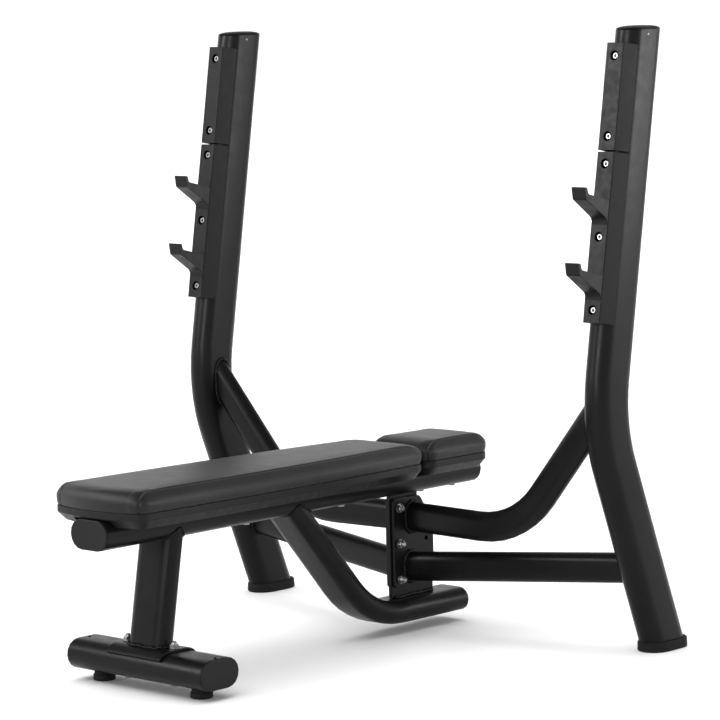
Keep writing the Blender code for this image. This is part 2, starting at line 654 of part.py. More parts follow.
def make_pad(pad, vinyl, wood, plastic, zinc):
    """Foam block, plywood board, plastic shell round the board, and the bolts through the rail."""
    make_foam(pad, vinyl)
    board_low, board_high = RAIL_Z + MAIN_SHORT / 2 + GAP, PAD_SEAM_Z - GAP
    inside = SHELL_WALL + GAP
    board = pad_loft(f"{pad.label}_pad_board", pad,
                     [(board_low, inside, None, False), (board_high, inside, None, True)], wood)
    drill(board, [Vector((0, y, board_low - 0.02)) for y in pad.bolts], Z_AXIS, 0.0265, M8 + 2 * GAP)
    low = PAD_SEAM_Z - SHELL_DEEP
    shell = pad_loft(f"{pad.label}_pad_shell", pad, [
        (low, SHELL_CHAMFER, None, True), (PAD_SEAM_Z - SHELL_BAND, 0.0, None, True),
        (board_high, 0.0, None, True), (board_high, SHELL_WALL, None, True),
        (board_low - 2 * GAP, SHELL_WALL, None, False), (low + SHELL_WALL, SHELL_WALL + 0.013, None, True)],
        plastic)
    boolean(shell, rail_slot(pad.label, board_low), "DIFFERENCE")
    for number, y in enumerate(pad.bolts, 1):
        hex_bolt(f"{pad.label}_pad_bolt_{number}", Vector((0, y, RAIL_Z - MAIN_SHORT / 2)), Z_AXIS,
                 PAD_BOLT_LENGTH, zinc, shank=M8, hex_half=0.0065, washer=0.0080)


def rail_slot(label, top):
    """Cutter for the slot along a shell's underside that the rail lies in."""
    half = MAIN_LONG / 2 + 0.001
    low = PAD_SEAM_Z - SHELL_DEEP - 0.02
    corners = [(-half, low), (half, low), (half, top), (-half, top)]
    return plate(f"rail_slot_{label}", corners, lambda a, b, end: Vector((a, end * 0.2 + (end - 1) * 1.2, b)), None)


def main():
    clear_scene()
    steel = principled("black_powder_coat", (0.030, 0.030, 0.032), 0.42, 0.0)
    plastic = principled("black_moulded_plastic", (0.028, 0.028, 0.030), 0.48)
    rubber = principled("black_rubber", (0.018, 0.018, 0.018), 0.75)
    vinyl = principled("black_vinyl", (0.035, 0.035, 0.038), 0.50)
    wood = principled("plywood", (0.45, 0.32, 0.18), 0.70)
    zinc = principled("zinc_plated_steel", (0.75, 0.75, 0.74), 0.28, 1.0)
    for side, label in ((-1, "left"), (1, "right")):
        make_upright(side, label, steel, plastic, rubber)
        make_guard(side, label, plastic, zinc)
        make_catch(side, label, plastic, zinc)
        make_beams(side, label, steel)
        make_leveller(label, side, rubber)
    make_bracket(steel)
    make_frame_bolts(zinc)
    make_rail(steel, plastic)
    make_lower_tube(steel, plastic)
    make_front_leg(steel)
    make_saddle_plate(steel)
    make_front_foot(steel, plastic)
    make_saddle_bolts(zinc)
    for pad in (MAIN_PAD, HEAD_PAD):
        make_pad(pad, vinyl, wood, plastic, zinc)


main()
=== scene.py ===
"""Looks of the olympic bench press: finishes, vinyl pads, welds, small screws, light and camera."""
import math

import bpy
import numpy as np
from mathutils import Matrix, Vector
from mathutils.kdtree import KDTree


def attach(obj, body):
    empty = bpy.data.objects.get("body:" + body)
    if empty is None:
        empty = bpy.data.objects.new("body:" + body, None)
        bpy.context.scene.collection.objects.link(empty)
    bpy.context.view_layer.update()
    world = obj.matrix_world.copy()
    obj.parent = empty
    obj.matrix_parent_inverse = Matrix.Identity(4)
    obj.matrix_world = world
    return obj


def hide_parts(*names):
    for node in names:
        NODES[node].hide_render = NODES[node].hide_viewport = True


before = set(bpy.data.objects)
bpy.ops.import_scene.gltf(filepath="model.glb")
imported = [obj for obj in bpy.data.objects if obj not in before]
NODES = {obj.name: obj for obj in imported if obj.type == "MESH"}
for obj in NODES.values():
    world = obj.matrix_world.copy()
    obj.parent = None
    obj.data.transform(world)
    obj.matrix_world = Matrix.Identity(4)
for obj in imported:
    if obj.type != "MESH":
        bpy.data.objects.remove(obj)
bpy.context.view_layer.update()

ORIGIN_Y = -0.4976       # row frame's origin, measured from the middle of the boots, as in the CAD source


# ---------------------------------------------------------------- helpers for points and faces
def lengths_along(line):
    """Length along a polyline at each of its points."""
    return np.concatenate([[0.0], np.cumsum(np.linalg.norm(np.diff(line, axis=0), axis=1))])


def ring_faces(levels, steps, closed=False):
    """Quads between rings of points that follow one another; closed joins the last ring to the first."""
    faces = []
    for level in range(levels if closed else levels - 1):
        after = (level + 1) % levels
        for step in range(steps):
            beside = (step + 1) % steps
            faces.append((level * steps + step, level * steps + beside,
                          after * steps + beside, after * steps + step))
    return faces


def end_faces(levels, steps):
    """The two faces that close a row of rings."""
    return [tuple(range(steps))[::-1], tuple((levels - 1) * steps + step for step in range(steps))]


# ---------------------------------------------------------------- camera
def make_camera():
    right = Vector((0.7271931, 0.6859557, -0.0255917))
    down = Vector((0.0662472, -0.1072403, -0.9920236))
    ahead = Vector((-0.6832287, 0.7196974, -0.1234271))
    data = bpy.data.cameras.new("camera")
    data.sensor_width = 36.0
    data.lens = 160.244
    data.shift_x = 0.00439
    data.shift_y = 0.04814
    data.clip_end = 100.0
    camera = bpy.data.objects.new("camera", data)
    bpy.context.scene.collection.objects.link(camera)
    axes = Matrix((right, -down, -ahead)).transposed().to_4x4()
    camera.matrix_world = Matrix.Translation((4.6014, -4.6439, 1.3524)) @ axes
    bpy.context.scene.camera = camera


# ---------------------------------------------------------------- materials
class Look:
    """A Principled material with short calls that add texture nodes to it."""

    def __init__(self, name, roughness=0.5, metallic=0.0, specular=0.5):
        self.material = bpy.data.materials.new(name)
        self.material.use_nodes = True
        self.tree = self.material.node_tree
        self.shader = self.tree.nodes["Principled BSDF"]
        self.shader.inputs["Roughness"].default_value = roughness
        self.shader.inputs["Metallic"].default_value = metallic
        self.shader.inputs["Specular IOR Level"].default_value = specular
        self.place = self.add("ShaderNodeTexCoord").outputs["Object"]

    def add(self, kind, links=(), values=(), **settings):
        node = self.tree.nodes.new(kind)
        for name, value in settings.items():
            setattr(node, name, value)
        for name, value in values:
            node.inputs[name].default_value = value
        for name, source in links:
            self.tree.links.new(source, node.inputs[name])
        return node

    def noise(self, scale, detail=2.0, rough=0.5, place=None):
        made = self.add("ShaderNodeTexNoise", [("Vector", place or self.place)],
                        [("Scale", scale), ("Detail", detail), ("Roughness", rough)])
        return made.outputs["Fac"]

    def spread(self, source, low, high, start=0.3, stop=0.7):
        made = self.add("ShaderNodeMapRange", [("Value", source)],
                        [("From Min", start), ("From Max", stop), ("To Min", low), ("To Max", high)])
        return made.outputs["Result"]

    def blend(self, share, first, second):
        """Colour that goes from first to second; each is a colour or another node's output."""
        made = self.add("ShaderNodeMix", [("Factor", share)], data_type="RGBA")
        for name, value in (("A", first), ("B", second)):
            socket = [s for s in made.inputs if s.name == name and s.type == "RGBA"][0]
            if isinstance(value, tuple):
                socket.default_value = (*value, 1.0)
            else:
                self.tree.links.new(value, socket)
        return [s for s in made.outputs if s.type == "RGBA"][0]

    def sums(self, first, second, share):
        """first + second * share"""
        part = self.add("ShaderNodeMath", [(0, second)], [(1, share)], operation="MULTIPLY").outputs[0]
        return self.add("ShaderNodeMath", [(0, first), (1, part)], operation="ADD").outputs[0]

    def colour(self, source):
        self.tree.links.new(source, self.shader.inputs["Base Color"])

    def rough(self, source):
        self.tree.links.new(source, self.shader.inputs["Roughness"])

    def bump(self, height, strength, distance):
        made = self.add("ShaderNodeBump", [("Height", height)],
                        [("Strength", strength), ("Distance", distance)])
        self.tree.links.new(made.outputs["Normal"], self.shader.inputs["Normal"])


def powder_coat():
    look = Look("powder_coat_look", specular=0.12)
    cloudy = look.noise(5.0, 4.0, 0.6)
    peel = look.noise(1100.0, 2.0)
    look.colour(look.blend(look.spread(cloudy, 0.0, 1.0), (0.0032, 0.0032, 0.0034), (0.0054, 0.0054, 0.0057)))
    look.rough(look.spread(look.sums(look.noise(45.0, 3.0), peel, 0.3), 0.29, 0.36, 0.5, 0.8))
    look.bump(look.sums(peel, look.noise(260.0), 0.8), 0.20, 0.0004)
    return look.material


def moulded_plastic():
    look = Look("moulded_plastic_look", specular=0.16)
    grain = look.noise(2600.0, 2.0)
    cloudy = look.noise(9.0, 4.0)
    look.colour(look.blend(look.spread(cloudy, 0.0, 1.0), (0.0034, 0.0034, 0.0036), (0.0058, 0.0058, 0.0061)))
    look.rough(look.spread(look.noise(70.0, 3.0), 0.36, 0.50))
    look.bump(look.sums(grain, look.noise(500.0), 0.4), 0.35, 0.0003)
    return look.material


def rubber():
    look = Look("rubber_look", specular=0.16)
    speck = look.noise(1500.0, 3.0)
    cloudy = look.noise(14.0, 4.0)
    look.colour(look.blend(look.spread(cloudy, 0.0, 1.0), (0.0050, 0.0050, 0.0052), (0.0110, 0.0108, 0.0106)))
    look.rough(look.spread(speck, 0.68, 0.88))
    look.bump(speck, 0.30, 0.0004)
    return look.material


def vinyl():
    """Upholstery vinyl: pebbled grain about 1.5 mm across, with finer pores, and slow changes in tone."""
    look = Look("vinyl_look", specular=0.18)
    warp = look.add("ShaderNodeTexNoise", [("Vector", look.place)], [("Scale", 240.0), ("Detail", 2.0)])
    offset = look.add("ShaderNodeVectorMath", [(0, warp.outputs["Color"])], operation="SCALE")
    offset.inputs["Scale"].default_value = 0.0012
    moved = look.add("ShaderNodeVectorMath", [(0, look.place), (1, offset.outputs[0])], operation="ADD")
    cells = look.add("ShaderNodeTexVoronoi", [("Vector", moved.outputs[0])], [("Scale", 620.0)],
                     feature="DISTANCE_TO_EDGE").outputs["Distance"]
    pebble = look.spread(cells, 0.0, 1.0, 0.0, 0.28)
    pores = look.noise(3000.0, 2.0)
    cloudy = look.noise(11.0, 5.0, 0.6)
    tone = look.sums(cloudy, pebble, 0.12)
    look.colour(look.blend(look.spread(tone, 0.0, 1.0, 0.38, 0.75),
                           (0.0090, 0.0090, 0.0095), (0.0132, 0.0130, 0.0137)))
    look.rough(look.spread(look.sums(look.noise(38.0, 3.0), pebble, -0.5), 0.31, 0.39, -0.1, 0.5))
    look.bump(look.sums(pebble, pores, 0.35), 0.42, 0.00035)
    look.shader.inputs["Sheen Weight"].default_value = 0.04
    look.shader.inputs["Sheen Roughness"].default_value = 0.45
    return look.material


def zinc_plate():
    look = Look("zinc_plate_look", metallic=1.0)
    tint = look.noise(180.0, 4.0)
    look.colour(look.blend(look.spread(tint, 0.0, 1.0), (0.18, 0.18, 0.18), (0.30, 0.30, 0.29)))
    look.rough(look.spread(look.noise(900.0, 3.0), 0.26, 0.42))
    look.bump(look.noise(2400.0), 0.15, 0.0002)
    return look.material


def plywood():
    look = Look("plywood_look", specular=0.30)
    bands = look.add("ShaderNodeTexWave", [("Vector", look.place)],
                     [("Scale", 95.0), ("Distortion", 0.6), ("Detail", 2.0)], bands_direction="Z")
    plies = bands.outputs["Fac"]
    stretch = look.add("ShaderNodeMapping", [("Vector", look.place)], [("Scale", (9.0, 1.0, 60.0))])
    grain = look.noise(40.0, 6.0, 0.65, stretch.outputs[0])
    wood = look.blend(look.spread(grain, 0.0, 1.0), (0.30, 0.19, 0.10), (0.52, 0.37, 0.21))
    look.colour(look.blend(look.spread(plies, 0.0, 0.45), wood, (0.20, 0.12, 0.06)))
    look.rough(look.spread(grain, 0.62, 0.80))
    look.bump(grain, 0.25, 0.0004)
    return look.material


LOOKS = {
    "black_powder_coat": powder_coat(),
    "black_moulded_plastic": moulded_plastic(),
    "black_rubber": rubber(),
    "black_vinyl": vinyl(),
    "plywood": plywood(),
    "zinc_plated_steel": zinc_plate(),
}


EDGE_WIDTH = {"black_powder_coat": 0.0007, "black_moulded_plastic": 0.0006, "black_rubber": 0.0008,
              "plywood": 0.0003, "zinc_plated_steel": 0.0002}


def dress_nodes():
    """Every CAD node keeps its own material slots; each takes the look of the same name and soft edges."""
    for item in NODES.values():
        finish = item.material_slots[0].material.name.split(".")[0]
        item.material_slots[0].material = LOOKS[finish]
        if finish != "black_vinyl":
            round_edges(item, EDGE_WIDTH[finish])


def round_edges(item, width):
    """Smooth faces, small rounds on the real edges, and normals that keep flat faces flat."""
    mesh = item.data
    if "custom_normal" in mesh.attributes:
        mesh.attributes.remove(mesh.attributes["custom_normal"])
    mesh.shade_smooth()
    weld = item.modifiers.new("weld", "WELD")
    weld.merge_threshold = 0.00002
    bevel = item.modifiers.new("edges", "BEVEL")
    bevel.limit_method = "ANGLE"
    bevel.angle_limit = math.radians(34)
    bevel.width = width
    bevel.segments = 2
    bevel.use_clamp_overlap = False
    bevel.miter_outer = "MITER_ARC"
    item.modifiers.new("normals", "WEIGHTED_NORMAL").keep_sharp = True


# ---------------------------------------------------------------- light and floor
def make_floor():
    mesh = bpy.data.meshes.new("floor")
    reach = 30.0
    corners = [(-reach, -reach, 0), (reach, -reach, 0), (reach, reach, 0), (-reach, reach, 0)]
    mesh.from_pydata(corners, [], [(0, 1, 2, 3)])
    floor = bpy.data.objects.new("floor", mesh)
    bpy.context.scene.collection.objects.link(floor)
    look = Look("floor_look", roughness=0.9, specular=0.1)
    cloudy = look.noise(0.7, 3.0)
    look.colour(look.blend(look.spread(cloudy, 0.0, 1.0), (0.93, 0.93, 0.93), (0.95, 0.95, 0.95)))
    mesh.materials.append(look.material)


def area_light(name, place, aim, size, power):
    """Soft box that only shapes the highlights; the ceiling light does the lighting."""
    data = bpy.data.lights.new(name, "AREA")
    data.shape = "RECTANGLE"
    data.size, data.size_y = size
    data.energy = power
    light = bpy.data.objects.new(name, data)
    bpy.context.scene.collection.objects.link(light)
    light.location = place
    light.rotation_euler = (Vector(aim) - Vector(place)).to_track_quat("-Z", "Y").to_euler()
    light.visible_diffuse = False


def make_light():
    world = bpy.data.worlds.new("studio")
    bpy.context.scene.world = world
    world.use_nodes = True
    tree = world.node_tree
    background = tree.nodes["Background"]
    background.inputs["Color"].default_value = (1.0, 1.0, 1.0, 1.0)
    direction = tree.nodes.new("ShaderNodeTexCoord").outputs["Generated"]
    split = tree.nodes.new("ShaderNodeSeparateXYZ")
    tree.links.new(direction, split.inputs[0])
    fade = tree.nodes.new("ShaderNodeMapRange")
    for name, value in (("From Min", 0.30), ("From Max", 0.62), ("To Min", 1.15), ("To Max", 0.30)):
        fade.inputs[name].default_value = value
    tree.links.new(split.outputs["Z"], fade.inputs["Value"])
    tree.links.new(fade.outputs["Result"], background.inputs["Strength"])
    bpy.context.scene.view_settings.view_transform = "Standard"
    area_light("left_softbox", (-2.0, -2.9, 2.25), (0.2, 0.0, 1.1), (1.6, 1.5), 120.0)
    area_light("right_softbox", (3.0, 2.6, 1.50), (0.4, 0.0, 1.0), (1.6, 1.6), 85.0)
    area_light("front_softbox", (1.4, -3.8, 1.90), (0.3, 0.0, 1.0), (0.9, 1.5), 100.0)
    sky = bpy.data.lights.new("ceiling_light", "SUN")
    sky.energy = 3.4
    sky.angle = math.radians(80)
    ceiling = bpy.data.objects.new("ceiling_light", sky)
    ceiling.rotation_euler = (math.radians(8), math.radians(-6), 0.0)
    ceiling.visible_glossy = False
    bpy.context.scene.collection.objects.link(ceiling)


# ---------------------------------------------------------------- pads
PAD_SEAM_Z = 0.377       # where the cover meets the shell, at the foot end
PAD_FALL = 0.0081        # fall over run towards the head
PAD_CORNER = 0.032
CREASE_HIGH = 0.0425
CREASE_INSET = 0.0185
CROWN_HIGH = 0.0437
PAD_SHAPES = {           # ends along Y, half widths there, taper power, bulge of the ends, crease insets
    "main_pad": ((-1.057, -0.186), (0.127, 0.094), 3, (0.024, 0.0), (0.014, 0.0415)),
    "head_pad": ((-0.174, 0.036), (0.0885, 0.085), 1, (0.0, 0.005), (0.028, 0.026)),
}
# Height above the seam, then the shares of the crease's inset there along the sides and at the ends.
PAD_SIDE = ((0.0, 0.08, 0.08), (0.003, 0.035, 0.035), (0.006, 0.0, 0.0), (0.009, -0.025, -0.025),
            (0.012, -0.045, -0.045), (0.015, -0.055, -0.055), (0.018, -0.055, -0.06), (0.0205, -0.03, -0.055),
            (0.023, 0.035, -0.04), (0.0255, 0.125, -0.005), (0.028, 0.235, 0.05), (0.030, 0.33, 0.105),
            (0.032, 0.43, 0.17), (0.034, 0.535, 0.245), (0.036, 0.64, 0.33), (0.0375, 0.715, 0.42),
            (0.039, 0.79, 0.54), (0.0402, 0.855, 0.67), (0.0412, 0.91, 0.80), (0.0420, 0.96, 0.91),
            (0.0425, 1.0, 1.0))


def pad_half(shape, y):
    ends, halves, power = shape[:3]
    along = np.clip((y - ends[0]) / (ends[1] - ends[0]), 0.0, 1.0)
    return halves[0] + (halves[1] - halves[0]) * along ** power


def pad_chains(shape, inset, end_insets):
    """Plan outline as four chains that meet at mid-corner: foot end, right side, head end, left side."""
    ends, halves, _, bows, _ = shape
    half = halves[0] - inset
    corner = max(PAD_CORNER - inset, 0.010)
    flat = half - corner
    turn = np.linspace(0, math.pi / 2, 41)
    across = np.linspace(-flat, flat, 61)
    parts = []
    for sign, end, bow, less in ((-1, ends[0], bows[0], end_insets[0]), (1, ends[1], bows[1], end_insets[1])):
        edge = end - sign * less
        base = edge - sign * bow * (flat / half) ** 2
        arc = np.stack([flat + corner * np.sin(turn), base - sign * corner * (1 - np.cos(turn))], 1)
        parts.append((arc, np.stack([across, edge - sign * bow * (across / half) ** 2], 1)))
    (near_arc, near), (far_arc, far) = parts
    run = np.linspace(near_arc[-1, 1], far_arc[-1, 1], 161)[1:-1]
    side = np.stack([np.full(len(run), half), run], 1)
    flip = np.array([-1.0, 1.0])
    right = np.concatenate([near_arc[20:], side, far_arc[:19:-1]])
    chains = [np.concatenate([near_arc[20:0:-1] * flip, near, near_arc[1:21]]), right,
              np.concatenate([far_arc[20:0:-1], far[::-1], far_arc[1:21] * flip]), right[::-1] * flip]
    for chain in chains:
        chain[:, 0] *= (pad_half(shape, chain[:, 1]) - inset) / half
    return chains


def chain_shares(length, near, fine, coarse):
    """Shares from 0 to 1 along a chain, closer together within near of its two ends."""
    edge = np.arange(0.0, near, fine)
    middle = np.linspace(near, length - near, max(2, round((length - 2 * near) / coarse)) + 1)
    return np.concatenate([edge, middle, (length - edge)[::-1]]) / length


def pad_ring(shape, shares, inset, end_insets, high):
    """Closed ring of points at a height above the seam, at fixed shares of each chain."""
    ring = []
    for chain, part in zip(pad_chains(shape, inset, end_insets), shares):
        steps = np.linalg.norm(np.diff(chain, axis=0), axis=1)
        length = np.concatenate([[0.0], np.cumsum(steps)])
        wanted = part[:-1] * length[-1]
        ring.append(np.stack([np.interp(wanted, length, chain[:, k]) for k in (0, 1)], 1))
    plan = np.concatenate(ring)
    level = PAD_SEAM_Z + high - PAD_FALL * (plan[:, 1] - PAD_SHAPES["main_pad"][0][0])
    return np.column_stack([plan, level])


def fill_ring(ring, ends, sides):
    """Grid inside a ring whose four chains have ends and sides steps; its border is the ring itself."""
    near, right = ring[:ends + 1], ring[ends:ends + sides + 1]
    far = ring[ends + sides:2 * ends + sides + 1][::-1]
    left = np.concatenate([ring[2 * ends + sides:], ring[:1]])[::-1]
    u = np.linspace(0, 1, ends + 1)[None, :, None]
    v = np.linspace(0, 1, sides + 1)[:, None, None]
    return ((1 - v) * near[None] + v * far[None] + (1 - u) * left[:, None] + u * right[:, None]
            - (1 - u) * (1 - v) * near[0] - u * (1 - v) * near[-1] - (1 - u) * v * far[0] - u * v * far[-1])


def add_grid(points, faces, grid, border, flip):
    """Adds a filled grid's inner points and its quads; border gives the ring's point numbers in order."""
    rows, cols = grid.shape[:2]
    number = np.zeros((rows, cols), int)
    number[0] = border[:cols]
    number[1:, -1] = border[cols:cols + rows - 1]
    number[-1, :-1] = border[cols + rows - 1:2 * cols + rows - 2][::-1]
    number[1:-1, 0] = border[2 * cols + rows - 2:][::-1]
    inner = grid[1:-1, 1:-1].reshape(-1, 3)
    number[1:-1, 1:-1] = len(points) + np.arange(len(inner)).reshape(rows - 2, cols - 2)
    points.extend(inner)
    for row in range(rows - 1):
        for col in range(cols - 1):
            face = (number[row, col], number[row, col + 1], number[row + 1, col + 1], number[row + 1, col])
            faces.append(tuple(int(x) for x in (face[::-1] if flip else face)))


# Height of the sewn seam against the length from mid-corner: it comes up the corner and on to the long edge.
CROWN_INSETS = (0.0022, 0.0045, 0.0075, 0.0115, 0.0165, 0.0220, 0.0280)
HELD_WIDTH = 0.0016      # the cloth is held this close to a seam
SWELL_CAP = 0.0012
GROOVE_DEPTH = 0.0026
GROOVE_WIDTH = 0.0023
PUCKER = 0.22            # share by which each stitch deepens the groove
STITCH_LENGTH = 0.0075
SEAM_RISE = ((0.0, 0.004, 0.008, 0.015, 0.027, 0.055), (0.016, 0.0235, 0.030, 0.0362, 0.0400, 0.0425))


def seam_paths(rings, ends, sides):
    """The two sewn seams as dense polylines: up a corner, along the edge and down the next corner."""
    stack = np.array(rings)
    highs = np.array([level[0] for level in PAD_SIDE])
    paths = []
    for start in (ends, 2 * ends + sides):
        columns = [(start + step) % stack.shape[1] for step in range(sides + 1)]
        line = stack[0, columns]
        run = lengths_along(line)
        rises = np.interp(np.minimum(run, run[-1] - run), *SEAM_RISE)
        along = [[np.interp(rise, highs, stack[:len(highs), column, k]) for k in range(3)]
                 for rise, column in zip(rises, columns)]
        corner = [[[np.interp(rise, highs, stack[:len(highs), column, k]) for k in range(3)]
                   for rise in np.linspace(0.0, SEAM_RISE[1][0], 9)[:-1]]
                  for column in (columns[0], columns[-1])]
        paths.append(thicken(np.array(corner[0] + along + corner[1][::-1])))
    return paths


def thicken(line):
    """The same polyline with a point about every 0.6 mm."""
    run = lengths_along(line)
    wanted = np.linspace(0, run[-1], int(run[-1] / 0.0006))
    return np.stack([np.interp(wanted, run, line[:, k]) for k in range(3)], 1)


def nearest(points, line):
    """For each point its distance to the line, and the length along the line there."""
    run = lengths_along(line)
    tree = KDTree(len(line))
    for number, place in enumerate(line):
        tree.insert(place, number)
    tree.balance()
    found = [tree.find(point) for point in points]
    return np.array([f[2] for f in found]), run[[f[1] for f in found]]


def read_points(mesh, kind="vertices", field="co"):
    flat = np.zeros(3 * len(mesh.vertices))
    getattr(mesh, kind).foreach_get(field, flat)
    return flat.reshape(-1, 3)


def write_points(mesh, points):
    mesh.vertices.foreach_set("co", points.ravel())
    mesh.update()


def settle(item):
    """Replaces the object's mesh by what its modifiers make of it."""
    made = bpy.data.meshes.new_from_object(item.evaluated_get(bpy.context.evaluated_depsgraph_get()))
    item.modifiers.clear()
    item.data = made
    return made


def swell(item, held, cap):
    """Cloth simulation: the cover swells under pressure while its seams and its lower edge are held."""
    rest = read_points(item.data)
    group = item.vertex_groups.new(name="held")
    group.add([int(number) for number in held], 1.0, "REPLACE")
    cloth = item.modifiers.new("cover", "CLOTH")
    cloth.settings.quality = 5
    cloth.settings.mass = 0.3
    cloth.settings.tension_stiffness = 40.0
    cloth.settings.compression_stiffness = 40.0
    cloth.settings.shear_stiffness = 20.0
    cloth.settings.bending_stiffness = 2.0
    cloth.settings.use_pressure = True
    cloth.settings.uniform_pressure_force = 4.0
    cloth.settings.vertex_group_mass = "held"
    cloth.settings.effector_weights.gravity = 0.0
    cloth.collision_settings.use_collision = False
    scene = bpy.context.scene
    for step in range(1, 21):
        scene.frame_set(step)
    move = read_points(settle(item)) - rest
    scene.frame_set(1)
    size = np.linalg.norm(move, axis=1, keepdims=True)
    write_points(item.data, rest + move * (cap * np.tanh(size / cap) / np.maximum(size, 1e-9)))
    item.vertex_groups.clear()


def make_cover(name):
    shape = PAD_SHAPES[name]
    ends_y, halves = shape[:2]
    across = chain_shares(2 * halves[0], 0.030, 0.0026, 0.0065)
    along = chain_shares(ends_y[1] - ends_y[0], 0.060, 0.0026, 0.0065)
    shares = (across, along, across, along)
    ends, sides = len(across) - 1, len(along) - 1
    levels = [(high, side * CREASE_INSET, [end * inset for inset in shape[4]])
              for high, side, end in PAD_SIDE]
    for more in CROWN_INSETS:
        rise = (CROWN_HIGH - CREASE_HIGH) * math.sin(math.pi / 2 * more / CROWN_INSETS[-1])
        levels.append((CREASE_HIGH + rise, CREASE_INSET + more, [inset + more for inset in shape[4]]))
    rings = [pad_ring(shape, shares, inset, end_insets, high) for high, inset, end_insets in levels]
    count = len(rings[0])
    points = [point for ring in rings for point in ring]
    faces = ring_faces(len(rings), count)
    top = (len(rings) - 1) * count
    add_grid(points, faces, fill_ring(rings[-1], ends, sides), [top + n for n in range(count)], False)
    lower = len(points)
    add_grid(points, faces, fill_ring(rings[0], ends, sides), list(range(count)), True)
    mesh = bpy.data.meshes.new(f"{name}_cover")
    mesh.from_pydata([tuple(p + (0.0, -ORIGIN_Y, 0.0)) for p in np.array(points)], [], faces)
    cover = bpy.data.objects.new(f"{name}_cover", mesh)
    bpy.context.scene.collection.objects.link(cover)
    seams = [path + (0.0, -ORIGIN_Y, 0.0) for path in seam_paths(rings, ends, sides)]
    places = read_points(mesh)
    close = np.minimum(*[nearest(places, seam)[0] for seam in seams])
    number = np.arange(len(places))
    held = np.flatnonzero((close < HELD_WIDTH) | (number < count) | (number >= lower))
    swell(cover, held, SWELL_CAP)
    cover.modifiers.new("finer", "SUBSURF").render_levels = 1
    press_seams(settle(cover), seams)
    cover.data.shade_smooth()
    cover.data.materials.clear()
    cover.data.materials.append(LOOKS["black_vinyl"])
    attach(cover, "frame")
    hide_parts(name)


def press_seams(mesh, seams):
    """Draws the cover in along its sewn seams: a narrow groove with a pucker at each stitch."""
    places = read_points(mesh)
    normals = read_points(mesh, field="normal")
    found = [nearest(places, seam) for seam in seams]
    first = found[0][0] <= found[1][0]
    far = np.where(first, found[0][0], found[1][0])
    run = np.where(first, found[0][1], found[1][1])
    pucker = 1.0 + PUCKER * np.cos(run * 2 * math.pi / STITCH_LENGTH)
    depth = GROOVE_DEPTH * pucker * np.exp(-(far / GROOVE_WIDTH) ** 2)
    write_points(mesh, places - normals * depth[:, None])


# ---------------------------------------------------------------- weld beads and small screws
RAIL_Z = 0.329
RAIL_SHORT = 0.061
RAIL_FLAT = 0.022        # half width of the rail's flat underside
FOOT_Y = -0.905
SADDLE_TOP_Z = 0.0883
LEG_SLOPE = 0.177
TUBE_LONG = 0.101        # section of the front leg and of the lower tube
TUBE_SHORT = 0.050
LOWER_TUBE_TOP_Z = 0.0718
LOWER_TUBE_CORNER = Vector((0.0, -0.294, 0.0465))
LOWER_TUBE_SLOPE = 1.1775
BEAM_THICK = 0.040
BEAM_HIGH = 0.064
PLATE_FACE_X = 0.0124
POST_INNER_X = 0.5393
# Middles of the beams at the side plates, at the bend, and at the uprights; X is set for each side.
UPPER_BEAM = (Vector((0.0, -0.146, 0.243)), Vector((0.320, -0.153, 0.2405)), Vector((0.0, -0.163, 0.501)))
LOWER_BEAM = (Vector((0.0, -0.152, 0.136)), Vector((0.0, -0.062, 0.174)))
POST_HALF = 0.0305
POST_X = 0.570
CAP_SCREW_Y = -0.0550
CAP_SCREW_Z = 1.2620
FOOT_SCREW_X = 0.182
FOOT_TUBE_Z = 0.0525
BEAD_SIDES = 10
BEAD_STEP = 0.0007
BEAD_SCALE = 0.0024      # length of one scale of a bead
BEAD_WOBBLE = 0.004
WELD_GROW = 0.0012       # a bead's path stands this far out of the tube
PLATE_BEAD = 0.0036
POST_BEAD = 0.0030
SCREW_HEAD = ((-0.002, 0.0030), (0.0004, 0.0031), (0.0012, 0.0027), (0.0017, 0.0018),
              (0.0017, 0.0011), (0.0007, 0.0011))
SCREW_SOCKET = (4, 5)    # levels of the head that are six-sided


def oval(size_u, size_v, grow=0.0, steps=18):
    """Flat-oval outline, grown outwards; the longer of its two sizes has the round ends."""
    long, short = max(size_u, size_v) + 2 * grow, min(size_u, size_v) + 2 * grow
    radius, flat = short / 2, (long - short) / 2
    turn = np.linspace(-math.pi / 2, math.pi / 2, steps)
    right = np.stack([flat + radius * np.cos(turn), radius * np.sin(turn)], 1)
    run = np.linspace(flat, -flat, 9)[1:-1]
    top = np.stack([run, np.full(7, radius)], 1)
    outline = np.concatenate([right, top, -right, -top])
    return outline if size_u >= size_v else outline[:, ::-1]


def sawn_ring(outline, place, direction, side, cut):
    """An oval tube's outline where a plane cuts it."""
    across = (side - direction * side.dot(direction)).normalized()
    upward = direction.cross(across)
    ring = []
    for u, v in outline:
        offset = across * u + upward * v
        ring.append(place + offset - direction * (offset.dot(cut) / direction.dot(cut)))
    return ring


def rail_under(x):
    """Height of the rail's underside at a distance from its middle."""
    past = min(max(abs(x) - RAIL_FLAT, 0.0), RAIL_SHORT / 2)
    return RAIL_Z - math.sqrt((RAIL_SHORT / 2) ** 2 - past ** 2)


def under_rail(base, direction):
    """Outline of a leg that runs up to the rail, where it meets the rail's underside."""
    across = Vector((1, 0, 0))
    upward = direction.cross(across)
    ring = []
    for u, v in oval(TUBE_LONG, TUBE_SHORT, WELD_GROW):
        start = base + across * u + upward * v
        ring.append(start + direction * ((rail_under(u) - 0.0006 - start.z) / direction.z))
    return ring


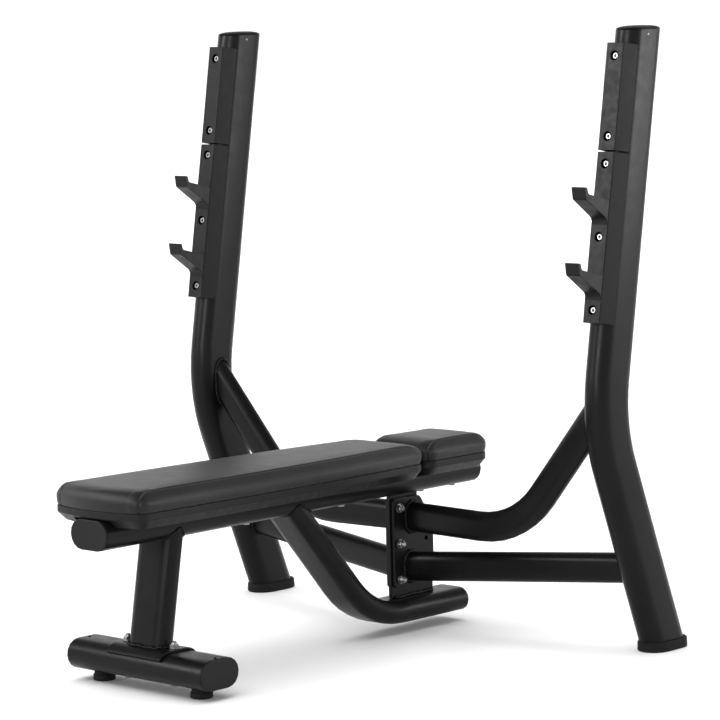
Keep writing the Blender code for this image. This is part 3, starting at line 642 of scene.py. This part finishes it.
def bead(name, path, size, closed=True):
    """Weld bead: a rope of small overlapping scales laid along a path."""
    line = np.array([tuple(p) for p in (list(path) + [path[0]] if closed else path)])
    run = lengths_along(line)
    count = int(run[-1] / BEAD_STEP)
    wanted = np.linspace(0, run[-1], count + 1)[:-1] if closed else np.linspace(0, run[-1], count)
    spine = np.stack([np.interp(wanted, run, line[:, k]) for k in range(3)], 1)
    ahead = np.roll(spine, -1, 0) - np.roll(spine, 1, 0)
    if not closed:
        ahead[0], ahead[-1] = spine[1] - spine[0], spine[-1] - spine[-2]
    ahead /= np.linalg.norm(ahead, axis=1, keepdims=True)
    random = np.random.default_rng(sum(map(ord, name)))
    knots = random.normal(0.0, 1.0, (int(run[-1] / BEAD_WOBBLE) + 4, 3))
    number = np.arange(len(knots))
    wobble = np.stack([np.interp(wanted / BEAD_WOBBLE, number, knots[:, k]) for k in range(3)], 1)
    scale = (wanted / BEAD_SCALE) % 1.0
    radius = size * (0.86 + 0.26 * np.sqrt(scale) + 0.10 * wobble[:, 0])
    points = []
    for place, way, reach, shift in zip(spine, ahead, radius, wobble):
        first = np.cross(way, (0.31, 0.47, 0.83))
        first /= np.linalg.norm(first)
        second = np.cross(way, first)
        middle = place + 0.16 * size * (first * shift[1] + second * shift[2])
        for step in range(BEAD_SIDES):
            angle = 2 * math.pi * step / BEAD_SIDES
            points.append(middle + reach * (first * math.cos(angle) + second * math.sin(angle)))
    faces = ring_faces(len(spine), BEAD_SIDES, closed)
    if not closed:
        faces += end_faces(len(spine), BEAD_SIDES)
    add_piece(name, points, faces, "black_powder_coat")


def add_piece(name, points, faces, finish):
    """Small fixed piece of the frame; its points are measured from the middle of the boots."""
    mesh = bpy.data.meshes.new(name)
    mesh.from_pydata([(p[0], p[1] - ORIGIN_Y, p[2]) for p in points], [], faces)
    mesh.shade_smooth()
    mesh.set_sharp_from_angle(angle=math.radians(50))
    mesh.materials.append(LOOKS[finish])
    piece = bpy.data.objects.new(name, mesh)
    bpy.context.scene.collection.objects.link(piece)
    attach(piece, "frame")


def turned(name, base, axis, profile, finish, steps=24, hexagon=()):
    """Round piece about an axis; profile is (height, radius), and levels named in hexagon are six-sided."""
    first = axis.orthogonal().normalized()
    second = axis.cross(first)
    points = []
    for level, (high, radius) in enumerate(profile):
        for step in range(steps):
            angle = 2 * math.pi * step / steps
            reach = radius
            if level in hexagon:
                reach = radius / math.cos((angle % (math.pi / 3)) - math.pi / 6)
            points.append(base + axis * high + (first * math.cos(angle) + second * math.sin(angle)) * reach)
    faces = ring_faces(len(profile), steps) + end_faces(len(profile), steps)
    add_piece(name, points, faces, finish)


def weld_frame():
    x_axis, y_axis, z_axis = Vector((1, 0, 0)), Vector((0, 1, 0)), Vector((0, 0, 1))
    outline = oval(BEAM_THICK, BEAM_HIGH, WELD_GROW)
    at_plate, at_post = PLATE_FACE_X + 0.0012, POST_INNER_X - 0.0010
    for label, side in (("left", -1), ("right", 1)):
        def at(point, x):
            return Vector((side * x, point.y, point.z))

        start, corner, end = UPPER_BEAM
        inner = (at(corner, corner.x) - at(start, PLATE_FACE_X)).normalized()
        outer = (at(end, POST_INNER_X) - at(corner, corner.x)).normalized()
        low, far = at(LOWER_BEAM[0], at_plate), at(LOWER_BEAM[1], at_post)
        along = (far - low).normalized()
        for name, place, way, size in (
                ("weld_upper_beam_plate", at(start, at_plate), inner, PLATE_BEAD),
                ("weld_upper_beam_post", at(end, at_post), outer, POST_BEAD),
                ("weld_lower_beam_plate", low, along, PLATE_BEAD),
                ("weld_lower_beam_post", far, along, POST_BEAD)):
            bead(f"{name}_{label}", sawn_ring(outline, place, way, y_axis, x_axis), size)
    leg = Vector((0, LEG_SLOPE, 1)).normalized()
    foot = Vector((0, FOOT_Y, SADDLE_TOP_Z + 0.0010))
    leg_outline = oval(TUBE_LONG, TUBE_SHORT, 0.0014)
    bead("weld_leg_saddle", sawn_ring(leg_outline, foot, leg, x_axis, z_axis), 0.0038)
    bead("weld_leg_rail", under_rail(foot, leg), 0.0023)
    slant = Vector((0, -1, LOWER_TUBE_SLOPE)).normalized()
    bead("weld_lower_tube_rail", under_rail(LOWER_TUBE_CORNER, slant), 0.0024)
    for label, x in (("left", -0.0050), ("right", 0.0050)):
        low = [Vector((x, y, LOWER_TUBE_TOP_Z + 0.0012)) for y in np.linspace(-0.198, -0.078, 12)]
        bead(f"weld_centre_plate_low_{label}", low, 0.0030, closed=False)
        high = [Vector((x, y, RAIL_Z - RAIL_SHORT / 2 - 0.0016)) for y in np.linspace(-0.204, -0.121, 9)]
        bead(f"weld_centre_plate_high_{label}", high, 0.0026, closed=False)


def small_screws():
    """Button-head screws that hold the upright caps and the foot caps."""
    for label, side in (("left", -1), ("right", 1)):
        for face, way in (("inner", -side), ("outer", side)):
            base = Vector((side * POST_X + way * POST_HALF, CAP_SCREW_Y, CAP_SCREW_Z))
            turned(f"cap_screw_{label}_{face}", base, Vector((way, 0, 0)), SCREW_HEAD, "zinc_plated_steel",
                   hexagon=SCREW_SOCKET)
        base = Vector((side * FOOT_SCREW_X, FOOT_Y, FOOT_TUBE_Z + RAIL_SHORT / 2))
        turned(f"foot_cap_screw_{label}", base, Vector((0, 0, 1)), SCREW_HEAD, "black_powder_coat",
               hexagon=SCREW_SOCKET)


make_camera()
dress_nodes()
for pad_name in PAD_SHAPES:
    make_cover(pad_name)
weld_frame()
small_screws()
make_floor()
make_light()
